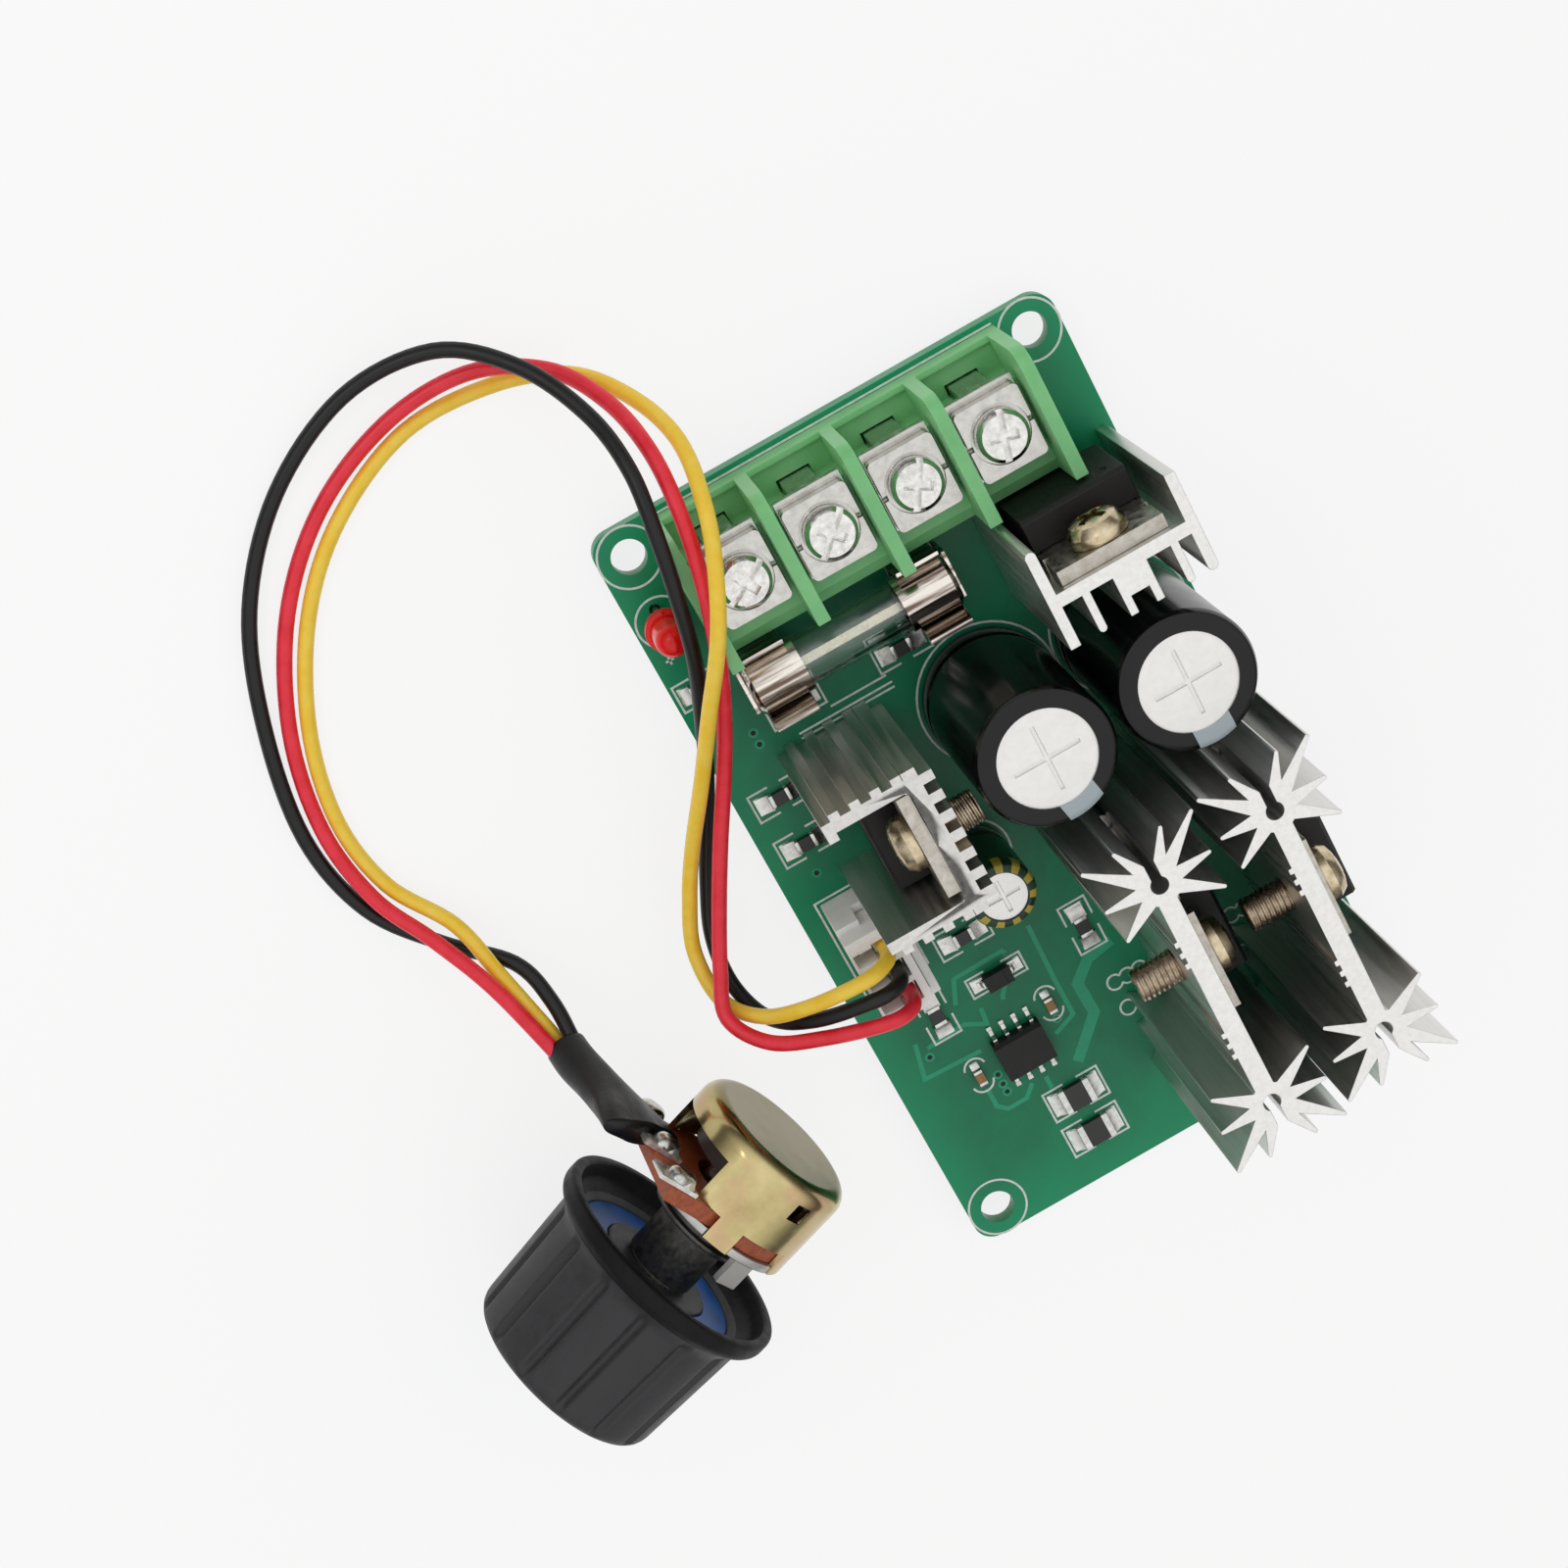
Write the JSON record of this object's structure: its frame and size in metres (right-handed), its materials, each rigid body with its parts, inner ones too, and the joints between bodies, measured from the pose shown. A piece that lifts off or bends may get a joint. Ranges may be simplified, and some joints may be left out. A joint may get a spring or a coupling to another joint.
{
  "type": "dc motor speed controller",
  "caption": "Direct current motor speed controller: open circuit board with screw terminals, fuse, heat sinks, and a wired potentiometer with a ribbed knob.",
  "frame": {"origin": "centre of the four mounting holes, on the circuit board's underside", "axes": "+Z out of the board's component side, +X along the row of terminals, +Y towards the terminals"},
  "size_m": [0.0867, 0.0997, 0.0282],
  "materials": {
    "board_green": "solder-masked glass-fibre laminate",
    "solder": "tin solder",
    "pale_green_plastic": "moulded",
    "plated_steel": "nickel plated",
    "clear_glass": "clear",
    "nickel_brass": "nickel plated brass",
    "tinned_brass": "tinned brass",
    "red_epoxy": "tinted epoxy",
    "black_plastic": "moulded",
    "dark_green_plastic": "shrink sleeve",
    "aluminium": "extruded, cut ends",
    "black_rubber": "moulded",
    "white_plastic": "moulded",
    "brown_ceramic": "ceramic",
    "black_insulation": "extruded",
    "red_insulation": "extruded",
    "yellow_insulation": "extruded",
    "yellow_zinc_steel": "yellow passivated zinc",
    "brown_laminate": "phenolic laminate",
    "zinc_alloy": "die cast, dulled",
    "shaft_metal": "turned",
    "blue_plastic": "moulded",
    "cream_plastic": "moulded"
  },
  "bodies": {
    "controller": {"board": "board_green", "solder_joints": "solder", "chip_solder": "solder", "terminal_body": "pale_green_plastic", "terminal_contacts": "plated_steel", "lamp_lens": "red_epoxy", "lamp_leads": "plated_steel", "large_cap_sleeves": "black_plastic", "small_cap_sleeve": "dark_green_plastic", "cap_cans": "aluminium", "cap_seals": "black_rubber", "cap_leads": "plated_steel", "star_sink_1": "aluminium", "star_sink_2": "aluminium", "winged_sink": "aluminium", "toothed_sink": "aluminium", "sink_pins": "plated_steel", "power_diode": "black_plastic", "regulator": "black_plastic", "package_tabs": "nickel_brass", "package_leads": "nickel_brass", "package_screws": "plated_steel", "header": "white_plastic", "header_pins": "tinned_brass", "plug": "white_plastic", "crimp_contacts": "tinned_brass", "chip_resistors": "black_plastic", "chip_capacitors": "brown_ceramic", "chip_ends": "solder", "small_diode": "black_plastic", "driver_chip": "black_plastic", "driver_leads": "solder", "wire_black": "black_insulation", "wire_red": "red_insulation", "wire_yellow": "yellow_insulation", "heat_shrink": "black_insulation", "pot_case": "yellow_zinc_steel", "pot_wafer": "brown_laminate", "pot_lugs": "tinned_brass", "pot_bushing": "zinc_alloy", "fuse_clips": "nickel_brass", "transistors": "black_plastic"},
    "clamp_1": {"clamp_plate_1": "plated_steel"},
    "clamp_2": {"clamp_plate_2": "plated_steel"},
    "clamp_3": {"clamp_plate_3": "plated_steel"},
    "clamp_4": {"clamp_plate_4": "plated_steel"},
    "screw_1": {"terminal_screw_1": "plated_steel"},
    "screw_2": {"terminal_screw_2": "plated_steel"},
    "screw_3": {"terminal_screw_3": "plated_steel"},
    "screw_4": {"terminal_screw_4": "plated_steel"},
    "fuse": {"fuse_glass": "clear_glass", "fuse_caps": "nickel_brass", "fuse_element": "plated_steel"},
    "knob": {"pot_shaft": "shaft_metal", "pot_rotor": "cream_plastic", "knob_shell": "black_plastic", "knob_insert": "blue_plastic", "knob_cap": "blue_plastic"}
  },
  "joints": [
    {"name": "clamp_1_lift", "type": "slide", "parent": "controller", "child": "clamp_1", "axis": [0, 0, 1], "range_m": [0, 0.0025]},
    {"name": "screw_1_turn", "type": "hinge", "parent": "clamp_1", "child": "screw_1", "pos_m": [-0.01238, 0.03198, 0.0115], "axis": [0, 0, 1], "range_deg": [0, 1800]},
    {"name": "clamp_2_lift", "type": "slide", "parent": "controller", "child": "clamp_2", "axis": [0, 0, 1], "range_m": [0, 0.0025]},
    {"name": "screw_2_turn", "type": "hinge", "parent": "clamp_2", "child": "screw_2", "pos_m": [-0.00413, 0.03198, 0.0115], "axis": [0, 0, 1], "range_deg": [0, 1800]},
    {"name": "clamp_3_lift", "type": "slide", "parent": "controller", "child": "clamp_3", "axis": [0, 0, 1], "range_m": [0, 0.0025]},
    {"name": "screw_3_turn", "type": "hinge", "parent": "clamp_3", "child": "screw_3", "pos_m": [0.00413, 0.03198, 0.0115], "axis": [0, 0, 1], "range_deg": [0, 1800]},
    {"name": "clamp_4_lift", "type": "slide", "parent": "controller", "child": "clamp_4", "axis": [0, 0, 1], "range_m": [0, 0.0025]},
    {"name": "screw_4_turn", "type": "hinge", "parent": "clamp_4", "child": "screw_4", "pos_m": [0.01238, 0.03198, 0.0115], "axis": [0, 0, 1], "range_deg": [0, 1800]},
    {"name": "fuse_pull", "type": "slide", "parent": "controller", "child": "fuse", "axis": [0, 0, 1], "range_m": [0, 0.01]},
    {"name": "knob_turn", "type": "hinge", "parent": "controller", "child": "knob", "pos_m": [-0.0467, -0.0189, 0.01031], "axis": [0.9339, 0.3492, 0.0767], "range_deg": [-150, 150]}
  ],
  "couplings": [
    {"joint": "screw_1_turn", "follows": "clamp_1_lift", "rad_per_m": 12566},
    {"joint": "screw_2_turn", "follows": "clamp_2_lift", "rad_per_m": 12566},
    {"joint": "screw_3_turn", "follows": "clamp_3_lift", "rad_per_m": 12566},
    {"joint": "screw_4_turn", "follows": "clamp_4_lift", "rad_per_m": 12566}
  ]
}
